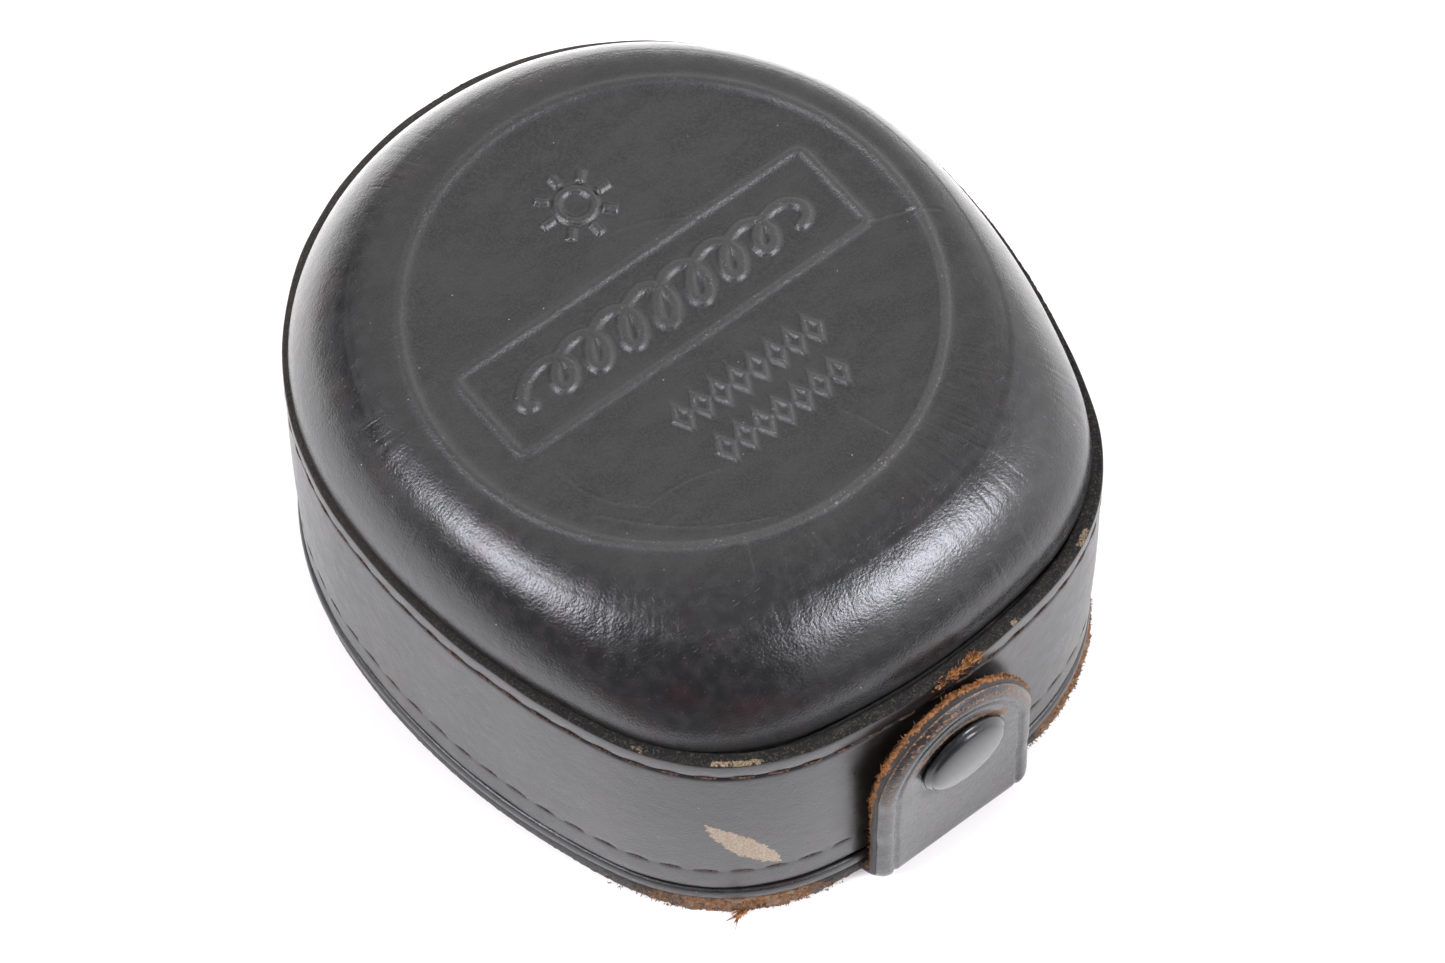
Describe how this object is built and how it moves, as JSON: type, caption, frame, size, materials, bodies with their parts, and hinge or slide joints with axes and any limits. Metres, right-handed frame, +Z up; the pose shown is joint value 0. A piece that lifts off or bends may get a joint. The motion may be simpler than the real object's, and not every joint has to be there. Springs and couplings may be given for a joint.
{
  "type": "selenium light meter in a moulded leather case",
  "caption": "Photographic light meter with a turning dial, shut in a black wet-moulded leather case that opens on a rear hinge behind a snap tongue.",
  "frame": {"origin": "on the table plane, at the middle of the case's underside, directly below the centre of the dial and of the ring on the dome", "axes": "+Z up through the dome, -Y towards the snap tongue, +X to the right seen from the tongue's side with the case upright"},
  "size_m": [0.0686, 0.0848, 0.0408],
  "materials": {
    "leather_base": "black finished leather, brown suede cut edge",
    "leather_tongue": "black finished leather, orange-brown suede cut edge",
    "leather_moulded": "black wet-moulded leather, polished and lightly worn",
    "felt": "short felt",
    "fibre": "moulded vulcanised fibre",
    "cap_enamel": "black enamel, glossy",
    "nickel": "nickel plate",
    "thread": "waxed dark thread",
    "housing_moulding": "moulded ivory resin",
    "dial_black": "moulded black resin",
    "marking_white": "white paint",
    "bezel_metal": "turned",
    "scale_face": "satin cream paint",
    "marking_black": "black paint",
    "window_glass": "clear",
    "pointer_red": "red paint",
    "copper": "enamelled copper wire on an aluminium former",
    "magnet_steel": "ground",
    "soft_iron": "machined",
    "movement_brass": "sheet brass",
    "jewel": "synthetic ruby set in a screw",
    "spring_steel": "spring steel",
    "lens_clear": "moulded honeycomb",
    "filter_red": "dyed gelatine between glass",
    "filter_blue": "dyed gelatine between glass",
    "cell_face": "selenium layer on an iron plate",
    "button_metal": "turned",
    "screw_steel": "plated"
  },
  "bodies": {
    "base": {"base_panel": "leather_base", "base_lining": "felt", "meter_cradle": "fibre", "rear_hinge": "leather_base", "meter_back": "housing_moulding", "meter_front": "housing_moulding", "dial_bezel": "bezel_metal", "scale_plate": "scale_face", "scale_marks": "marking_black", "window_glass": "window_glass", "magnet": "magnet_steel", "pole_pieces": "soft_iron", "iron_core": "soft_iron", "movement_bridges": "movement_brass", "jewel_screws": "jewel", "hairsprings": "spring_steel", "honeycomb_lens": "lens_clear", "red_filter": "filter_red", "blue_filter": "filter_blue", "selenium_cells": "cell_face", "contact_springs": "movement_brass", "button_spring": "spring_steel", "housing_screws": "screw_steel"},
    "tongue_flap": {"tongue": "leather_tongue", "snap_cap": "cap_enamel", "snap_socket": "nickel"},
    "shell": {"side_band": "leather_moulded", "bottom_welt": "leather_moulded", "top_shell": "leather_moulded", "shell_lining": "felt", "top_stitches": "thread", "bottom_stitches": "thread", "snap_stud": "nickel", "hinge_stitches": "thread"},
    "dial": {"dial_ring": "dial_black", "dial_ticks": "marking_white"},
    "pointer_and_coil": {"pointer": "pointer_red", "moving_coil": "copper"},
    "button": {"release_button": "button_metal"},
    "zero_adjuster": {"zero_screw": "nickel"}
  },
  "joints": [
    {"name": "shell_open", "type": "hinge", "parent": "base", "child": "shell", "pos_m": [0, 0.0385, 0.0023], "axis": [-1, 0, 0], "range_deg": [0, 92], "deforming": ["rear_hinge"]},
    {"name": "tongue_fold", "type": "hinge", "parent": "base", "child": "tongue_flap", "pos_m": [-0.0006, -0.04208, 0.001], "axis": [1, 0, 0], "range_deg": [0, 80]},
    {"name": "dial_turn", "type": "hinge", "parent": "base", "child": "dial", "pos_m": [0, 0, 0.0272], "axis": [0, 0, 1], "continuous": true},
    {"name": "pointer_swing", "type": "hinge", "parent": "base", "child": "pointer_and_coil", "pos_m": [0, -0.007, 0.014], "axis": [0, 0, -1], "range_deg": [0, 80], "stiffness_Nm_per_rad": 0.000002, "springref_deg": -11.46},
    {"name": "button_press", "type": "slide", "parent": "base", "child": "button", "axis": [0, 0, -1], "range_m": [0, 0.0015], "stiffness_N_per_m": 300, "springref_m": -0.002, "deforming": ["button_spring"]},
    {"name": "zero_turn", "type": "hinge", "parent": "base", "child": "zero_adjuster", "pos_m": [0.017, -0.021, 0.025], "axis": [0, 0, 1], "range_deg": [-30, 30]}
  ]
}
